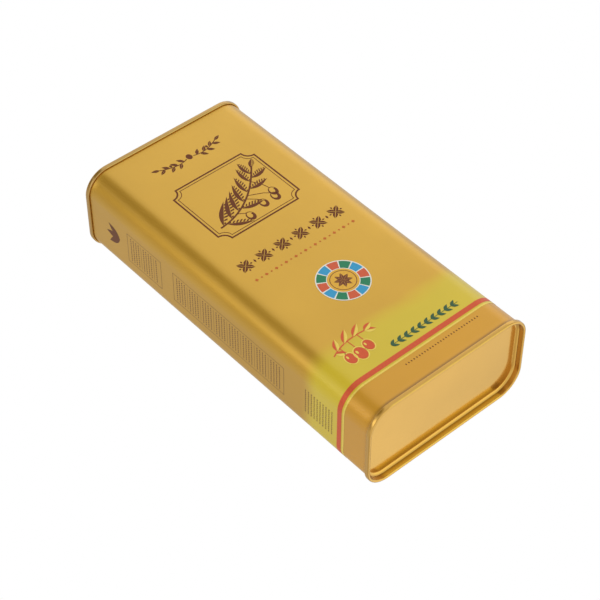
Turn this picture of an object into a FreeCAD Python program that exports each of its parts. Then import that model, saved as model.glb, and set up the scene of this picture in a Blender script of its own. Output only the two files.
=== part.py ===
import FreeCAD, Part
import os
import re
import Sketcher

# One-litre rectangular oil tin with a pull-up pouring spout.
# Lengths are millimetres. Z runs up the tin, X across its front, the front faces -Y,
# and the origin is the centre of the base.

doc = FreeCAD.newDocument("OilTin")
sheet = doc.addObject("Spreadsheet::Sheet", "Sizes")

SIZES = {
    # tin body
    "body_width": "102",
    "body_depth": "51",
    "corner_radius": "13",
    "tin_height": "220",
    "body_plate": "0.23",
    "end_plate": "0.27",
    "weld_width": "1.0",
    "weld_proud": "0.1",
    "weld_margin": "0.3",
    # double seam
    "seam_height": "3.2",
    "layer_gap": "0.05",
    "compound_film": "0.14",
    "film_height": "1.4",
    "rim_bend": "0.65",
    "body_hook": "1.6",
    "cover_hook_gap": "0.25",
    # stamped ends
    "countersink_depth": "3.6",
    "shoulder_radius": "1.9",
    "shoulder_turn": "55",
    # neck drawn up from the top end
    "neck_bore": "29.2",
    "neck_height": "4.6",
    "neck_foot": "0.8",
    "curl_radius": "0.94",
    # spout base clipped over the neck
    "snap_clearance": "0.15",
    "snap_bite": "0.85",
    "skirt_wall": "1.75",
    "skirt_lift": "0.5",
    "gasket_thickness": "0.55",
    "gasket_gap": "0.05",
    "gasket_width": "1.3",
    "deck_thickness": "1.0",
    "deck_round": "0.8",
    "sleeve_fit": "0.3",
    "sleeve_wall": "1.3",
    "sleeve_depth": "16.5",
    "stop_lip": "1.8",
    "lip_chamfer": "0.4",
    # pull-up spout
    "slide_clearance": "0.2",
    "foot_reach": "0.9",
    "foot_thickness": "1.4",
    "foot_lift": "0.3",
    "spout_wall": "1.2",
    "rest_gap": "0.2",
    "collar_thickness": "0.6",
    "collar_reach": "1.3",
    "bead_height": "0.5",
    "bead_reach": "0.8",
    "spout_rise": "5.4",
    "mouth_chamfer": "0.4",
    # tamper band
    "band_gap": "0.3",
    "band_height": "2.1",
    "band_wall": "1.4",
    "pawl_clearance": "0.4",
    "pawl_thickness": "0.7",
    "pawl_drop": "0.2",
    # cap and its liner
    "cap_gap": "0.2",
    "cap_wall": "1.6",
    "cap_top": "1.2",
    "cap_round": "0.8",
    "dish_rim": "2.2",
    "dish_depth": "0.4",
    "thread_room": "1.7",
    "liner_thickness": "0.8",
    "liner_seat": "0.05",
    "liner_gap": "0.15",
    "liner_fit": "0.3",
    "grip_count": "40",
    "grip_radius": "0.5",
    "grip_offset": "0.2",
}

# Places worked out from the sizes. n is measured outward from the body's outer wall,
# and the seam's z from the rim; closure radii and heights start at the top panel.
PLACES = {
    "half_width": "body_width / 2",
    "half_depth": "body_depth / 2",
    # layers of the double seam, from the wall outward
    "cover_in": "layer_gap",
    "cover_out": "cover_in + end_plate",
    "hook_in": "cover_out + layer_gap",
    "hook_out": "hook_in + body_plate",
    "film_in": "hook_out + layer_gap",
    "film_out": "film_in + compound_film",
    "seam_in": "film_out + layer_gap",
    "seam_out": "seam_in + end_plate",
    "chuck_out": "-body_plate - layer_gap",
    "chuck_in": "chuck_out - end_plate",
    # bends of the double seam
    "flare_n": "hook_in / 2",
    "flare_z": "end_plate + layer_gap + body_plate + hook_in / 2",
    "hook_tip": "flare_z + body_hook",
    "roll_n": "(seam_out + cover_in) / 2",
    "roll_z": "seam_height - (seam_out - cover_in) / 2",
    "cover_tip": "flare_z + cover_hook_gap",
    "rim_left": "chuck_in + rim_bend",
    "rim_right": "seam_out - rim_bend",
    # countersink
    "bend_n": "chuck_in - shoulder_radius * sin(shoulder_turn)",
    "bend_z": "countersink_depth - shoulder_radius",
    "crease_in": "bend_z + shoulder_radius * cos(shoulder_turn)",
    "far_radius": "shoulder_radius + end_plate",
    "far_run": "chuck_out - bend_n",
    "crease_out": "bend_z + sqrt(far_radius * far_radius - far_run * far_run)",
    "panel_top": "tin_height - countersink_depth",
    # neck
    "bore": "neck_bore / 2",
    "collar": "bore + end_plate",
    "foot_r": "collar + neck_foot",
    "curl_r": "bore + curl_radius",
    "curl_out": "bore + 2 * curl_radius",
    "curl_z": "neck_height - curl_radius",
    "curl_in": "curl_radius - end_plate",
    # spout base
    "skirt_in": "curl_out + snap_clearance",
    "skirt_out": "skirt_in + skirt_wall",
    "snap_in": "skirt_in - snap_bite",
    "snap_top": "curl_z - curl_radius - 2 * snap_clearance",
    "deck_low": "neck_height + gasket_gap + gasket_thickness",
    "deck_high": "deck_low + deck_thickness",
    "lip_low": "deck_high - stop_lip",
    "sleeve_out": "bore - sleeve_fit",
    "sleeve_in": "sleeve_out - sleeve_wall",
    # spout
    "foot_out": "sleeve_in - slide_clearance",
    "tube_out": "foot_out - foot_reach",
    "tube_in": "tube_out - spout_wall",
    "lip_in": "tube_out + slide_clearance",
    "foot_low": "foot_lift - sleeve_depth",
    "foot_high": "foot_low + foot_thickness",
    "rest_low": "deck_high + rest_gap",
    "rest_high": "rest_low + collar_thickness",
    "rest_out": "tube_out + collar_reach",
    "pawl_low": "rest_high + pawl_drop",
    "pawl_high": "pawl_low + pawl_thickness",
    "bead_low": "pawl_high + pawl_clearance",
    "bead_high": "bead_low + bead_height",
    "bead_out": "tube_out + bead_reach",
    "mouth": "deck_high + spout_rise",
    # band, cap and liner
    "pawl_in": "tube_out + pawl_clearance",
    "cap_in": "tube_out + thread_room",
    "cap_out": "cap_in + cap_wall",
    "band_in": "cap_out - band_wall",
    "band_low": "deck_high + band_gap",
    "band_high": "band_low + band_height",
    "cap_low": "band_high + cap_gap",
    "liner_low": "mouth + liner_seat",
    "liner_high": "liner_low + liner_thickness",
    "roof": "liner_high + liner_gap",
    "cap_high": "roof + cap_top",
    "liner_out": "cap_in - liner_fit",
    "dish_out": "cap_out - dish_rim",
}

for row, (name, value) in enumerate(SIZES.items(), start=1):
    sheet.set(f"A{row}", name)
    sheet.set(f"B{row}", value)
    sheet.setAlias(f"B{row}", name)
doc.recompute()


def formula(text):
    """Spell a short formula out in sheet cells."""
    def word(match):
        name = match.group(0)
        if name in SIZES:
            return f"Sizes.{name}"
        if name in PLACES:
            return f"({formula(PLACES[name])})"
        return name
    return re.sub(r"[a-z_]+", word, text)


def value(text):
    number = sheet.evalExpression(formula(text))
    return float(getattr(number, "Value", number))


def new_body(name):
    body = doc.addObject("PartDesign::Body", name)
    body.Label = name
    return body


def new_sketch(body, name, plane, height=None):
    sketch = body.newObject("Sketcher::SketchObject", name)
    support = [face for face in body.Origin.OriginFeatures if face.Role == plane][0]
    sketch.AttachmentSupport = [(support, "")]
    sketch.MapMode = "FlatFace"
    if height:
        sketch.setExpression("AttachmentOffset.Base.z", formula(height))
    return sketch


def hold(sketch, geo, pos, across, up):
    """Tie one sketch point to the sheet."""
    for kind, text, axis in (("DistanceX", across, -2), ("DistanceY", up, -1)):
        if text is None:
            continue
        if abs(value(text)) < 1e-9:
            sketch.addConstraint(Sketcher.Constraint("PointOnObject", geo, pos, axis))
            continue
        number = sketch.addConstraint(Sketcher.Constraint(kind, -1, 1, geo, pos, value(text)))
        sketch.setExpression(f"Constraints[{number}]", formula(text))


def draw(sketch, outline):
    """Draw a closed outline of lines and arcs, every point tied to the sheet.

    A step is (across, up) for a line, or (across, up, centre across, centre up, turn).
    """
    steps = list(outline)
    places = [FreeCAD.Vector(value(step[0]), value(step[1]), 0) for step in steps]
    ends = []
    geometry = []
    for index, step in enumerate(steps):
        start, stop = places[index - 1], places[index]
        if len(step) == 2:
            geometry.append(Part.LineSegment(start, stop))
            ends.append((1, 2))
            continue
        centre = FreeCAD.Vector(value(step[2]), value(step[3]), 0)
        circle = Part.Circle(centre, FreeCAD.Vector(0, 0, 1), (stop - centre).Length)
        first, last = (start, stop) if step[4] == "ccw" else (stop, start)
        geometry.append(Part.ArcOfCircle(circle, circle.parameter(first), circle.parameter(last)))
        ends.append((1, 2) if step[4] == "ccw" else (2, 1))
    sketch.addGeometry(geometry, False)
    for index, step in enumerate(steps):
        after = (index + 1) % len(steps)
        joint = Sketcher.Constraint("Coincident", index, ends[index][1], after, ends[after][0])
        sketch.addConstraint(joint)
    for index, step in enumerate(steps):
        hold(sketch, index, ends[index][1], step[0], step[1])
        if len(step) == 5:
            chord = places[index] - places[index - 1]
            if abs(chord.x) > abs(chord.y):
                hold(sketch, index, 3, None, step[3])
            else:
                hold(sketch, index, 3, step[2], None)
    return sketch


def rounded_outline(offset):
    """The tin's plan outline moved outward by an offset, from the middle of the +X side."""
    x = f"half_width + ({offset})"
    y = f"half_depth + ({offset})"
    cx = "half_width - corner_radius"
    cy = "half_depth - corner_radius"
    return [
        (x, "0"),
        (x, cy),
        (cx, y, cx, cy, "ccw"),
        (f"-({cx})", y),
        (f"-({x})", cy, f"-({cx})", cy, "ccw"),
        (f"-({x})", f"-({cy})"),
        (f"-({cx})", f"-({y})", f"-({cx})", f"-({cy})", "ccw"),
        (cx, f"-({y})"),
        (x, f"-({cy})", cx, f"-({cy})", "ccw"),
    ]


def sweep(body, name, outline):
    """Carry a wall section round the tin's plan outline."""
    path = draw(new_sketch(body, f"{name}_path", "XY_Plane"), rounded_outline("0"))
    section = new_sketch(body, f"{name}_section", "XZ_Plane")
    draw(section, outline)
    pipe = body.newObject("PartDesign::AdditivePipe", f"{name}_sweep")
    pipe.Profile = section
    pipe.Spine = (path, [])
    doc.recompute()
    return pipe


def pad(body, name, outline, height, length, plane="XY_Plane"):
    sketch = draw(new_sketch(body, f"{name}_outline", plane, height), outline)
    feature = body.newObject("PartDesign::Pad", f"{name}_pad")
    feature.Profile = sketch
    feature.setExpression("Length", formula(length))
    doc.recompute()
    return feature


def lathe(body, name, outline):
    """Spin a section about the closure's axis."""
    section = draw(new_sketch(body, f"{name}_section", "XZ_Plane"), outline)
    feature = body.newObject("PartDesign::Revolution", f"{name}_turned")
    feature.Profile = section
    feature.ReferenceAxis = (section, ["V_Axis"])
    feature.Angle = 360
    doc.recompute()
    return feature


def from_wall(outline, top=False):
    """Move a seam section out to the wall, and turn it over for the top of the tin."""
    flip = {"ccw": "cw", "cw": "ccw"}
    moved = []
    for step in outline:
        points = []
        for index, text in enumerate(step[:4]):
            if index % 2 == 0:
                points.append(f"half_width + ({text})")
            else:
                points.append(f"tin_height - ({text})" if top else text)
        if len(step) == 5:
            points.append(flip[step[4]] if top else step[4])
        moved.append(tuple(points))
    return moved


# The body is one sheet rolled to a rounded rectangle and lap-welded up one narrow side.
# Both rims flare out and back to make the body hooks of the double seams.
body_shell = new_body("body_shell")
top_flare = "tin_height - (flare_z)"
top_tip = "tin_height - (hook_tip)"
shell_section = [
    ("-body_plate", "flare_z"),
    ("hook_out", "flare_z", "flare_n", "flare_z", "ccw"),
    ("hook_out", "hook_tip"),
    ("hook_in", "hook_tip"),
    ("hook_in", "flare_z"),
    ("0", "flare_z", "flare_n", "flare_z", "cw"),
    ("0", top_flare),
    ("hook_in", top_flare, "flare_n", top_flare, "cw"),
    ("hook_in", top_tip),
    ("hook_out", top_tip),
    ("hook_out", top_flare),
    ("-body_plate", top_flare, "flare_n", top_flare, "ccw"),
]
sweep(body_shell, "shell", from_wall(shell_section))
weld_outline = [
    ("half_width - body_plate / 2", "weld_width / 2"),
    ("half_width - body_plate / 2", "-weld_width / 2"),
    ("half_width + weld_proud", "-weld_width / 2"),
    ("half_width + weld_proud", "weld_width / 2"),
]
pad(body_shell, "weld", weld_outline, "seam_height + weld_margin",
    "tin_height - 2 * (seam_height + weld_margin)")

# Each end is stamped: sunk panel, rounded shoulder, chuck wall, rounded rim, seaming panel and the
# cover hook that locks behind the body hook.
panel_edge = [
    ("bend_n", "countersink_depth"),
    ("chuck_in", "crease_in", "bend_n", "bend_z", "cw"),
    ("chuck_in", "rim_bend"),
    ("rim_left", "0", "rim_left", "rim_bend", "ccw"),
    ("rim_right", "0"),
    ("seam_out", "rim_bend", "rim_right", "rim_bend", "ccw"),
    ("seam_out", "roll_z"),
    ("cover_in", "roll_z", "roll_n", "roll_z", "ccw"),
    ("cover_in", "cover_tip"),
    ("cover_out", "cover_tip"),
    ("cover_out", "roll_z"),
    ("seam_in", "roll_z", "roll_n", "roll_z", "cw"),
    ("seam_in", "rim_bend"),
    ("rim_right", "end_plate", "rim_right", "rim_bend", "cw"),
    ("rim_left", "end_plate"),
    ("chuck_out", "rim_bend", "rim_left", "rim_bend", "cw"),
    ("chuck_out", "crease_out"),
    ("bend_n", "countersink_depth + end_plate", "bend_n", "bend_z", "ccw"),
]
bottom_end = new_body("bottom_end")
sweep(bottom_end, "bottom_rim", from_wall(panel_edge))
pad(bottom_end, "bottom_panel", rounded_outline("bend_n"), "countersink_depth", "end_plate")

top_end = new_body("top_end")
sweep(top_end, "top_rim", from_wall(panel_edge, top=True))
pad(top_end, "top_panel", rounded_outline("bend_n"), "panel_top - end_plate", "end_plate")

# The neck: a round hole in the top panel whose edge is drawn up and curled outward.
hole = new_sketch(top_end, "neck_hole_outline", "XY_Plane", "panel_top")
hole.addGeometry(Part.Circle(FreeCAD.Vector(0, 0, 0), FreeCAD.Vector(0, 0, 1), value("foot_r")))
hole.addConstraint(Sketcher.Constraint("Coincident", 0, 3, -1, 1))
hole_size = hole.addConstraint(Sketcher.Constraint("Radius", 0, value("foot_r")))
hole.setExpression(f"Constraints[{hole_size}]", formula("foot_r"))
neck_hole = top_end.newObject("PartDesign::Pocket", "neck_hole")
neck_hole.Profile = hole
neck_hole.setExpression("Length", formula("2 * end_plate"))
doc.recompute()


def above_panel(outline):
    """Lift a closure section to the top panel."""
    moved = []
    for step in outline:
        points = [f"panel_top + ({text})" if index % 2 else text
                  for index, text in enumerate(step[:4])]
        moved.append(tuple(points) + tuple(step[4:]))
    return moved


neck_section = [
    ("foot_r", "0"),
    ("collar", "neck_foot", "foot_r", "neck_foot", "cw"),
    ("collar", "curl_z"),
    ("curl_r", "curl_z - curl_in", "curl_r", "curl_z", "cw"),
    ("curl_r", "curl_z - curl_radius"),
    ("bore", "curl_z", "curl_r", "curl_z", "ccw"),
    ("bore", "neck_foot"),
    ("foot_r", "-end_plate", "foot_r", "neck_foot", "ccw"),
]
lathe(top_end, "neck", above_panel(neck_section))

# Sealing compound lies as a thin film between the body hook and the seaming panel.
film_section = [
    ("film_in", "hook_tip - film_height"),
    ("film_out", "hook_tip - film_height"),
    ("film_out", "hook_tip"),
    ("film_in", "hook_tip"),
]
bottom_seam_compound = new_body("bottom_seam_compound")
sweep(bottom_seam_compound, "bottom_film", from_wall(film_section))
top_seam_compound = new_body("top_seam_compound")
sweep(top_seam_compound, "top_film", from_wall(film_section, top=True))

# The spout base snaps over the neck's curl. Its sleeve guides the spout and its lip stops it.
spout_base = new_body("spout_base")
base_section = [
    ("sleeve_in", "-sleeve_depth"),
    ("sleeve_out", "-sleeve_depth"),
    ("sleeve_out", "deck_low"),
    ("skirt_in", "deck_low"),
    ("skirt_in", "snap_top"),
    ("snap_in", "snap_top - snap_bite"),
    ("snap_in", "skirt_lift + snap_bite / 2"),
    ("snap_in + snap_bite / 2", "skirt_lift"),
    ("skirt_out", "skirt_lift"),
    ("skirt_out", "deck_high - deck_round"),
    ("skirt_out - deck_round", "deck_high", "skirt_out - deck_round", "deck_high - deck_round", "ccw"),
    ("lip_in + lip_chamfer", "deck_high"),
    ("lip_in", "deck_high - lip_chamfer"),
    ("lip_in", "lip_low"),
    ("sleeve_in", "lip_low"),
]
lathe(spout_base, "base", base_section)

# A flat ring seals the base against the top of the curl.
neck_gasket = new_body("neck_gasket")
gasket_section = [
    ("curl_r - gasket_width / 2", "neck_height + gasket_gap / 2"),
    ("curl_r + gasket_width / 2", "neck_height + gasket_gap / 2"),
    ("curl_r + gasket_width / 2", "deck_low - gasket_gap / 2"),
    ("curl_r - gasket_width / 2", "deck_low - gasket_gap / 2"),
]
lathe(neck_gasket, "gasket", gasket_section)

# The spout: a tube with a foot flange, a resting collar and a bead that keeps the band on.
pull_spout = new_body("pull_spout")
spout_section = [
    ("tube_in", "foot_low"),
    ("foot_out", "foot_low"),
    ("foot_out", "foot_high"),
    ("tube_out", "foot_high"),
    ("tube_out", "rest_low"),
    ("rest_out", "rest_low"),
    ("rest_out", "rest_high"),
    ("tube_out", "rest_high"),
    ("tube_out", "bead_low"),
    ("bead_out", "bead_low"),
    ("tube_out", "bead_high"),
    ("tube_out", "mouth - mouth_chamfer"),
    ("tube_out - mouth_chamfer", "mouth"),
    ("tube_in", "mouth"),
]
lathe(pull_spout, "spout", spout_section)

# The tamper band stays below the bead when the cap is first unscrewed.
tamper_band = new_body("tamper_band")
band_section = [
    ("pawl_in", "pawl_low"),
    ("band_in", "pawl_low"),
    ("band_in", "band_low"),
    ("cap_out", "band_low"),
    ("cap_out", "band_high"),
    ("band_in", "band_high"),
    ("band_in", "pawl_high"),
    ("pawl_in", "pawl_high"),
]
lathe(tamper_band, "band", band_section)

# The liner disc is pressed on the mouth by the cap.
cap_liner = new_body("cap_liner")
liner_section = [
    ("0", "liner_low"),
    ("liner_out", "liner_low"),
    ("liner_out", "liner_high"),
    ("0", "liner_high"),
]
lathe(cap_liner, "liner", liner_section)

# The screw cap, with a shallow dish in its top and upright grip grooves round its skirt.
screw_cap = new_body("screw_cap")
cap_section = [
    ("0", "roof"),
    ("cap_in", "roof"),
    ("cap_in", "cap_low"),
    ("cap_out", "cap_low"),
    ("cap_out", "cap_high - cap_round"),
    ("cap_out - cap_round", "cap_high", "cap_out - cap_round", "cap_high - cap_round", "ccw"),
    ("dish_out", "cap_high"),
    ("dish_out - dish_depth", "cap_high - dish_depth"),
    ("0", "cap_high - dish_depth"),
]
lathe(screw_cap, "cap", cap_section)
grip = new_sketch(screw_cap, "grip_outline", "XY_Plane", "cap_low")
grip_place = FreeCAD.Vector(value("cap_out + grip_offset"), 0, 0)
grip.addGeometry(Part.Circle(grip_place, FreeCAD.Vector(0, 0, 1), value("grip_radius")))
hold(grip, 0, 3, "cap_out + grip_offset", "0")
grip_size = grip.addConstraint(Sketcher.Constraint("Radius", 0, value("grip_radius")))
grip.setExpression(f"Constraints[{grip_size}]", formula("grip_radius"))
groove = screw_cap.newObject("PartDesign::Pocket", "grip_groove")
groove.Profile = grip
groove.Reversed = True
groove.setExpression("Length", formula("cap_high - cap_round - cap_low"))
doc.recompute()
grips = screw_cap.newObject("PartDesign::PolarPattern", "grip_pattern")
grips.Originals = [groove]
grips.Axis = (grip, ["N_Axis"])
grips.Angle = 360
grips.setExpression("Occurrences", formula("grip_count"))
screw_cap.Tip = grips
doc.recompute()

closure = [spout_base, neck_gasket, pull_spout, tamper_band, cap_liner, screw_cap]
for piece in closure:
    piece.setExpression("Placement.Base.z", formula("panel_top"))
doc.recompute()

pieces = [body_shell, bottom_end, top_end, bottom_seam_compound, top_seam_compound] + closure
for item in doc.Objects:
    if "Invalid" in item.State or "Error" in item.State:
        raise RuntimeError(f"{item.Name} did not build")
os.makedirs("parts", exist_ok=True)
for piece in pieces:
    shape = piece.Shape
    if shape.isNull() or not shape.isValid() or len(shape.Solids) != 1:
        raise RuntimeError(f"{piece.Label} is not one sound solid")
    shape.exportStep(f"parts/{piece.Label}.step")
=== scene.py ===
import math

import bmesh
import bpy
from mathutils import Matrix, Vector


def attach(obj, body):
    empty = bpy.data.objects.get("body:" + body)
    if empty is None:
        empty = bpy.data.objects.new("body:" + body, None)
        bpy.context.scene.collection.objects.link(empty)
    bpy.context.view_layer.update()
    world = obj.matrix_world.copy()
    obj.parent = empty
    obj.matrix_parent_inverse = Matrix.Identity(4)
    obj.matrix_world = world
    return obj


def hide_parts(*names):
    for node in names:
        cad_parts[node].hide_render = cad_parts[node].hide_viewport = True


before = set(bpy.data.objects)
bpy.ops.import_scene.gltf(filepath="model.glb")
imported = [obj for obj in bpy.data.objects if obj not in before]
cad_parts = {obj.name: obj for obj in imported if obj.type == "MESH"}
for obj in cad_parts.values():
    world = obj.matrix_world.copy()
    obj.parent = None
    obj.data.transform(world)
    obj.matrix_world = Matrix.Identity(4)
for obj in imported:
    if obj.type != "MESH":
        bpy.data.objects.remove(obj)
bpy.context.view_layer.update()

MM = 0.001
TINY = 1e-9

# Sizes in millimetres: z from the base, n outward from the body's outer wall. They are the solids' own,
# apart from the seam's height, the hook that fits in it and the base's recess. Those follow the photograph.
WIDTH = 102.0
DEPTH = 51.0
HEIGHT = 220.0
CORNER = 13.0
BODY_PLATE = 0.23
END_PLATE = 0.27
LAYER_GAP = 0.05
FILM = 0.14
SEAM_HEIGHT = 2.65
RIM_BEND = 0.65
BODY_HOOK = 1.5
COVER_HOOK_GAP = 0.25
COUNTERSINK = 3.6
SHOULDER = 1.9
SHOULDER_TURN = 55.0
BASE_SINK = 4.2
BASE_SHOULDER = 2.7
WELD_WIDTH = 1.0
WELD_PROUD = 0.1
WELD_MARGIN = 0.3

FLAT_X = WIDTH / 2 - CORNER
FLAT_Y = DEPTH / 2 - CORNER
CORNER_ARC = CORNER * math.pi / 2
PERIMETER = 4 * (FLAT_X + FLAT_Y + CORNER_ARC)
PANEL_TOP = HEIGHT - COUNTERSINK

COVER_IN = LAYER_GAP
COVER_OUT = COVER_IN + END_PLATE
HOOK_IN = COVER_OUT + LAYER_GAP
HOOK_OUT = HOOK_IN + BODY_PLATE
SEAM_IN = HOOK_OUT + FILM + 2 * LAYER_GAP
SEAM_OUT = SEAM_IN + END_PLATE
CHUCK_OUT = -BODY_PLATE - LAYER_GAP
CHUCK_IN = CHUCK_OUT - END_PLATE
FLARE_N = HOOK_IN / 2
FLARE_Z = END_PLATE + LAYER_GAP + BODY_PLATE + HOOK_IN / 2


def linear(red, green, blue):
    """A screen colour, 0 to 255, as the linear colour that shaders take."""
    def channel(level):
        share = level / 255
        return share / 12.92 if share <= 0.04045 else ((share + 0.055) / 1.055) ** 2.4
    return channel(red), channel(green), channel(blue), 1.0


# Geometry helpers

LARGEST_ROUND = 0.45  # share of an edge that a rounded corner may take

# The body wall seen from above, anticlockwise from the front's centre: each flat has its length,
# start and heading, and each corner its length, centre and first angle.
WALL_RUNS = (
    (FLAT_X, (0, -DEPTH / 2), (1, 0)),
    (CORNER_ARC, (FLAT_X, -FLAT_Y), -90),
    (2 * FLAT_Y, (WIDTH / 2, -FLAT_Y), (0, 1)),
    (CORNER_ARC, (FLAT_X, FLAT_Y), 0),
    (2 * FLAT_X, (FLAT_X, DEPTH / 2), (-1, 0)),
    (CORNER_ARC, (-FLAT_X, FLAT_Y), 90),
    (2 * FLAT_Y, (-WIDTH / 2, FLAT_Y), (0, -1)),
    (CORNER_ARC, (-FLAT_X, -FLAT_Y), 180),
    (FLAT_X, (-FLAT_X, -DEPTH / 2), (1, 0)),
)


def arc(centre_across, centre_up, radius, start, stop, steps):
    """Points on an arc between two angles in degrees, ends included."""
    points = []
    for step in range(steps + 1):
        angle = math.radians(start + (stop - start) * step / steps)
        points.append((centre_across + radius * math.cos(angle), centre_up + radius * math.sin(angle)))
    return points


def bend(start, control, stop, steps):
    """Points on a quadratic curve, ends included."""
    points = []
    for step in range(steps + 1):
        share = step / steps
        rest = 1 - share
        points.append(tuple(start * rest ** 2 + control * 2 * share * rest + stop * share ** 2))
    return points


def softened(points, radius, steps=3):
    """A closed outline with every corner rounded a little."""
    result = []
    count = len(points)
    for index in range(count):
        here = Vector(points[index])
        before = Vector(points[index - 1]) - here
        after = Vector(points[(index + 1) % count]) - here
        reach = min(radius, LARGEST_ROUND * before.length, LARGEST_ROUND * after.length)
        result += bend(here + before.normalized() * reach, here, here + after.normalized() * reach, steps)
    return result


def wall_place(along):
    """Point and outward normal on the body wall, a distance along it from the front's centre."""
    rest = along % PERIMETER
    for length, place, heading in WALL_RUNS:
        if rest <= length + TINY:
            break
        rest -= length
    if isinstance(heading, tuple):
        across, up = heading
        return Vector((place[0] + across * rest, place[1] + up * rest)), Vector((up, -across))
    angle = math.radians(heading) + rest / CORNER
    normal = Vector((math.cos(angle), math.sin(angle)))
    return Vector(place) + normal * CORNER, normal


def wall_stations(flat_step=6.0, corner_steps=20):
    """Distances along the wall that follow its flats and corners closely."""
    stations = []
    reached = 0.0
    for length, _, heading in WALL_RUNS:
        steps = max(2, round(length / flat_step)) if isinstance(heading, tuple) else corner_steps
        stations += [reached + length * step / steps for step in range(steps)]
        reached += length
    return stations


def on_wall(along, height, lift=0.0):
    """A place in metres on the wall, or a little off it."""
    point, normal = wall_place(along)
    place = point + normal * lift
    return Vector((place.x, place.y, height)) * MM


def round_axis(radius, angle, height):
    """A place in metres about the spout's axis, height from the top panel."""
    return Vector((radius * math.cos(angle), radius * math.sin(angle), PANEL_TOP + height)) * MM


def bridge(mesh_data, first, second, closed=True):
    """Faces between two rings of vertices. A ring of one vertex is a pole."""
    count = max(len(first), len(second))
    for step in range(count if closed else count - 1):
        after = (step + 1) % count
        lower = [first[step], first[after]] if len(first) > 1 else first
        upper = [second[after], second[step]] if len(second) > 1 else second
        mesh_data.faces.new(lower + upper)


def skin(mesh_data, rings, closed):
    """Faces from each ring to the next, and from the last to the first if closed."""
    followers = rings[1:] + (rings[:1] if closed else [])
    for first, second in zip(rings, followers):
        bridge(mesh_data, first, second)


def add_sweep(mesh_data, section, stations, closed):
    """Carry a section of (n, z) points round the wall. Returns the rings, one per section point."""
    rings = []
    for outward, height in section:
        rings.append([mesh_data.verts.new(on_wall(station, height, outward)) for station in stations])
    skin(mesh_data, rings, closed)
    return rings


def add_lathe(mesh_data, section, segments, closed=True, radius_at=None):
    """Spin a section of (r, z) points about the spout's axis. radius_at may reshape each point."""
    rings = []
    for radius, height in section:
        if radius < TINY:
            rings.append([mesh_data.verts.new(round_axis(0.0, 0.0, height))])
            continue
        ring = []
        for step in range(segments):
            angle = 2 * math.pi * step / segments
            reach = radius_at(radius, height, angle) if radius_at else radius
            ring.append(mesh_data.verts.new(round_axis(reach, angle, height)))
        rings.append(ring)
    skin(mesh_data, rings, closed)
    return rings


def new_object(name, data):
    made = bpy.data.objects.new(name, data)
    bpy.context.scene.collection.objects.link(made)
    return made


def make_piece(mesh_data, name, body, material):
    """A mesh as a named piece that rides on a body."""
    mesh = bpy.data.meshes.new(name)
    mesh_data.to_mesh(mesh)
    mesh_data.free()
    mesh.materials.append(material)
    piece = new_object(name, mesh)
    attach(piece, body)
    return piece


def replace_node(mesh_data, name, body, material, node_name, sharp=32):
    """A smooth piece in place of a CAD node, with creases past an angle in degrees."""
    bmesh.ops.recalc_face_normals(mesh_data, faces=mesh_data.faces)
    piece = make_piece(mesh_data, name, body, material)
    piece.data.polygons.foreach_set("use_smooth", [True] * len(piece.data.polygons))
    piece.data.set_sharp_from_angle(angle=math.radians(sharp))
    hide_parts(node_name)


# Material helpers

MIX_FIRST, MIX_SECOND, MIX_RESULT = 6, 7, 2  # a mix node's colour sockets, which share their names


def new_material(name):
    """A material, its node tree and its shader."""
    material = bpy.data.materials.new(name)
    material.use_nodes = True
    return material, material.node_tree, material.node_tree.nodes["Principled BSDF"]


def feed(made, inputs):
    """Give a node's inputs, by name or number, a socket's link or a fixed value."""
    for key, value in inputs.items():
        if isinstance(value, bpy.types.NodeSocket):
            made.id_data.links.new(value, made.inputs[key])
        else:
            made.inputs[key].default_value = value


def node(tree, kind, inputs=None, **settings):
    """A new node with its settings and inputs."""
    made = tree.nodes.new(kind)
    for key, setting in settings.items():
        setattr(made, key, setting)
    feed(made, inputs or {})
    return made


def coordinates(tree, scale=(1, 1, 1)):
    """Object coordinates in metres, stretched per axis."""
    place = node(tree, "ShaderNodeTexCoord").outputs["Object"]
    return node(tree, "ShaderNodeMapping", {"Vector": place, "Scale": scale}).outputs["Vector"]


def position(tree):
    """Sockets X, Y and Z of a point, in metres."""
    return node(tree, "ShaderNodeSeparateXYZ", {"Vector": coordinates(tree)}).outputs


def noise(tree, scale, detail=3.0, stretch=(1, 1, 1)):
    inputs = {"Vector": coordinates(tree, stretch), "Scale": scale, "Detail": detail}
    return node(tree, "ShaderNodeTexNoise", inputs).outputs["Fac"]


def spread(tree, source, low, high, from_low=0.3, from_high=0.7, smooth=False):
    """A socket's range, by default that of noise, spread from low to high."""
    inputs = {"Value": source, "From Min": from_low, "From Max": from_high, "To Min": low, "To Max": high}
    easing = "SMOOTHSTEP" if smooth else "LINEAR"
    return node(tree, "ShaderNodeMapRange", inputs, interpolation_type=easing).outputs["Result"]


def over(tree, length, low, high, span, smooth=False):
    """From low to high, as a length in metres passes over a span in millimetres."""
    start, stop = span
    return spread(tree, length, low, high, start * MM, stop * MM, smooth)


def math_node(tree, operation, *terms):
    """One operation on sockets and fixed numbers."""
    return node(tree, "ShaderNodeMath", dict(enumerate(terms)), operation=operation).outputs["Value"]


def product(tree, first, *others):
    for other in others:
        first = math_node(tree, "MULTIPLY", first, other)
    return first


def blend_colours(tree, factor, first, second, mode="MIX"):
    """Mix two colours, each a socket or a fixed colour, by a factor socket or number."""
    inputs = {"Factor": factor, MIX_FIRST: first, MIX_SECOND: second}
    return node(tree, "ShaderNodeMix", inputs, data_type="RGBA", blend_type=mode).outputs[MIX_RESULT]


def add_bump(tree, shader, height, strength, distance):
    bump = node(tree, "ShaderNodeBump", {"Height": height, "Strength": strength, "Distance": distance})
    feed(shader, {"Normal": bump.outputs["Normal"]})


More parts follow.
